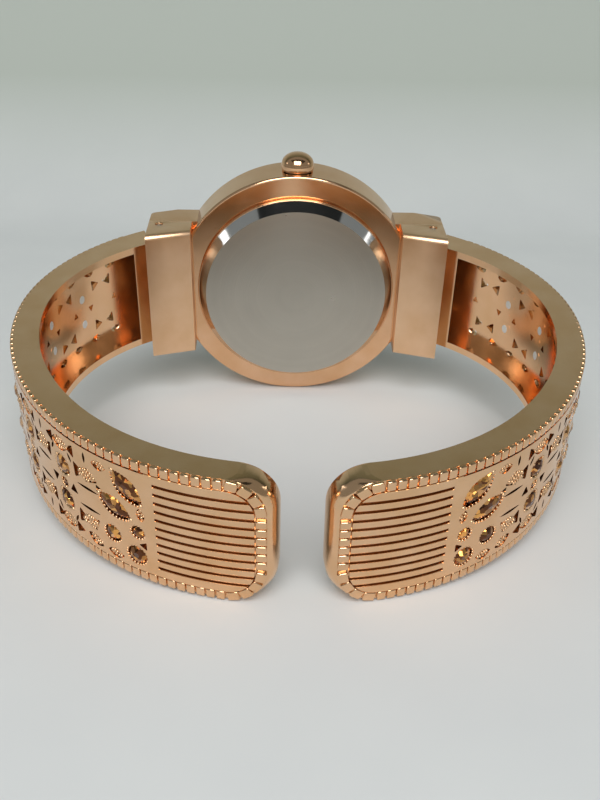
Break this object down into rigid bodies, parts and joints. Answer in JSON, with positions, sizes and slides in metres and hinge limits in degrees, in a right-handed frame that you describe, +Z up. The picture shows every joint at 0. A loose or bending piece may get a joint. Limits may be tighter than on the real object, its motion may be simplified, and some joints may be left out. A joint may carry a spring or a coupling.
{
  "type": "cuff bangle watch",
  "caption": "Bangle watch: a round quartz case with two sprung open-work cuffs set with faceted stones and ribbed tips.",
  "frame": {"origin": "centre of the bounding box on the table, under the watch as it rests on the foot of its case and on both cuff tips", "axes": "+X across the wrist from the left cuff to the right as the wrist side is seen, +Y from the wrist towards the dial, +Z up from the table towards the crown"},
  "size_m": [0.0644, 0.0611, 0.0352],
  "materials": {
    "plated_case": "polished rose-gold plating",
    "plated_cuff": "polished rose-gold plating over cast zinc alloy",
    "satin_back": "turned satin steel with a polished bevel",
    "steel": "plain steel",
    "mineral_glass": "clear flat mineral glass",
    "champagne_stone": "faceted pale amber glass with a foiled back",
    "black_rubber": "soft black rubber",
    "dial_enamel": "satin cream lacquer",
    "dial_gold": "polished rose-gold plating",
    "holder_plastic": "white moulded plastic",
    "movement_plate": "plain machined brass",
    "cell_steel": "bright nickel-plated steel",
    "board_green": "green solder resist",
    "copper_wire": "fine enamelled copper wire",
    "wheel_brass": "gilt brass"
  },
  "bodies": {
    "head": {"case_middle": "plated_case", "bezel": "plated_case", "hinge_cover_right": "plated_case", "hinge_cover_left": "plated_case", "case_back": "satin_back", "hinge_pin_right": "steel", "hinge_pin_left": "steel", "hinge_spring_right": "steel", "hinge_spring_left": "steel", "crown_tube": "steel", "battery_clamp": "steel", "movement_screws": "steel", "stator": "steel", "crystal": "mineral_glass", "case_back_gasket": "black_rubber", "crystal_gasket": "black_rubber", "dial": "dial_enamel", "dial_ring": "dial_enamel", "dial_markers": "dial_gold", "movement_holder": "holder_plastic", "main_plate": "movement_plate", "train_bridge": "movement_plate", "battery": "cell_steel", "quartz_crystal": "cell_steel", "circuit_board": "board_green", "coil": "copper_wire"},
    "cuff_right_arm": {"cuff_right": "plated_cuff", "round_stones_right": "champagne_stone", "marquise_stones_right": "champagne_stone"},
    "cuff_left_arm": {"cuff_left": "plated_cuff", "round_stones_left": "champagne_stone", "marquise_stones_left": "champagne_stone"},
    "seconds": {"fourth_wheel": "wheel_brass", "second_hand": "dial_gold"},
    "minutes": {"centre_wheel": "wheel_brass", "cannon_pinion": "wheel_brass", "minute_hand": "dial_gold"},
    "hours": {"hour_wheel": "wheel_brass", "hour_hand": "dial_gold"},
    "third_work": {"third_wheel": "wheel_brass"},
    "fifth_work": {"fifth_wheel": "wheel_brass"},
    "rotor_work": {"rotor": "steel"},
    "minute_work": {"minute_wheel": "wheel_brass"},
    "crown_seal": {"crown_gasket": "black_rubber"},
    "crown_stem": {"crown": "plated_case", "setting_stem": "steel"},
    "yoke": {"clutch_yoke": "steel"},
    "clutch": {"sliding_pinion": "steel"},
    "lever": {"setting_lever": "steel"}
  },
  "joints": [
    {"name": "cuff_right_hinge", "type": "hinge", "parent": "head", "child": "cuff_right_arm", "pos_m": [0.018, 0.02147, 0.01578], "axis": [0, -0.1679, 0.9858], "range_deg": [0, 16], "stiffness_Nm_per_rad": 0.03, "springref_deg": -17.19, "deforming": ["hinge_spring_right"]},
    {"name": "cuff_left_hinge", "type": "hinge", "parent": "head", "child": "cuff_left_arm", "pos_m": [-0.018, 0.02147, 0.01578], "axis": [0, 0.1679, -0.9858], "range_deg": [0, 16], "stiffness_Nm_per_rad": 0.03, "springref_deg": -17.19, "deforming": ["hinge_spring_left"]},
    {"name": "second_turn", "type": "hinge", "parent": "head", "child": "seconds", "pos_m": [0, 0.02088, 0.01567], "axis": [0, -0.9858, -0.1679], "continuous": true},
    {"name": "minute_turn", "type": "hinge", "parent": "head", "child": "minutes", "pos_m": [0, 0.02088, 0.01567], "axis": [0, -0.9858, -0.1679], "continuous": true},
    {"name": "hour_turn", "type": "hinge", "parent": "head", "child": "hours", "pos_m": [0, 0.02088, 0.01567], "axis": [0, -0.9858, -0.1679], "continuous": true},
    {"name": "third_turn", "type": "hinge", "parent": "head", "child": "third_work", "pos_m": [-0.00172, 0.02265, 0.0172], "axis": [0, -0.9858, -0.1679], "continuous": true},
    {"name": "fifth_turn", "type": "hinge", "parent": "head", "child": "fifth_work", "pos_m": [0.00191, 0.02304, 0.01493], "axis": [0, -0.9858, -0.1679], "continuous": true},
    {"name": "rotor_turn", "type": "hinge", "parent": "head", "child": "rotor_work", "pos_m": [0.00318, 0.02316, 0.0142], "axis": [0, -0.9858, -0.1679], "continuous": true},
    {"name": "minute_work_turn", "type": "hinge", "parent": "head", "child": "minute_work", "pos_m": [0, 0.02403, 0.01864], "axis": [0, -0.9858, -0.1679], "continuous": true},
    {"name": "crown_pull", "type": "slide", "parent": "head", "child": "crown_seal", "axis": [0, -0.1679, 0.9858], "range_m": [0, 0.001]},
    {"name": "crown_turn", "type": "hinge", "parent": "crown_seal", "child": "crown_stem", "pos_m": [0, 0.02196, 0.026], "axis": [0, -0.1679, 0.9858], "continuous": true},
    {"name": "yoke_slide", "type": "slide", "parent": "head", "child": "yoke", "axis": [0, -0.1679, 0.9858], "range_m": [-0.00012, 0]},
    {"name": "clutch_turn", "type": "hinge", "parent": "yoke", "child": "clutch", "pos_m": [0, 0.02196, 0.026], "axis": [0, -0.1679, 0.9858], "continuous": true},
    {"name": "lever_swing", "type": "hinge", "parent": "head", "child": "lever", "pos_m": [-0.0026, 0.0216, 0.0234], "axis": [0, -0.9858, -0.1679], "range_deg": [0, 22.04]}
  ],
  "couplings": [
    {"joint": "minute_turn", "follows": "second_turn", "ratio": 0.016667},
    {"joint": "hour_turn", "follows": "second_turn", "ratio": 0.0013889},
    {"joint": "third_turn", "follows": "second_turn", "ratio": -0.13333},
    {"joint": "fifth_turn", "follows": "second_turn", "ratio": -5},
    {"joint": "rotor_turn", "follows": "second_turn", "ratio": 30},
    {"joint": "minute_work_turn", "follows": "second_turn", "ratio": -0.0055556},
    {"joint": "clutch_turn", "follows": "crown_turn", "ratio": 1},
    {"joint": "yoke_slide", "follows": "crown_pull", "ratio": -0.12},
    {"joint": "lever_swing", "follows": "crown_pull", "rad_per_m": 384.6}
  ]
}
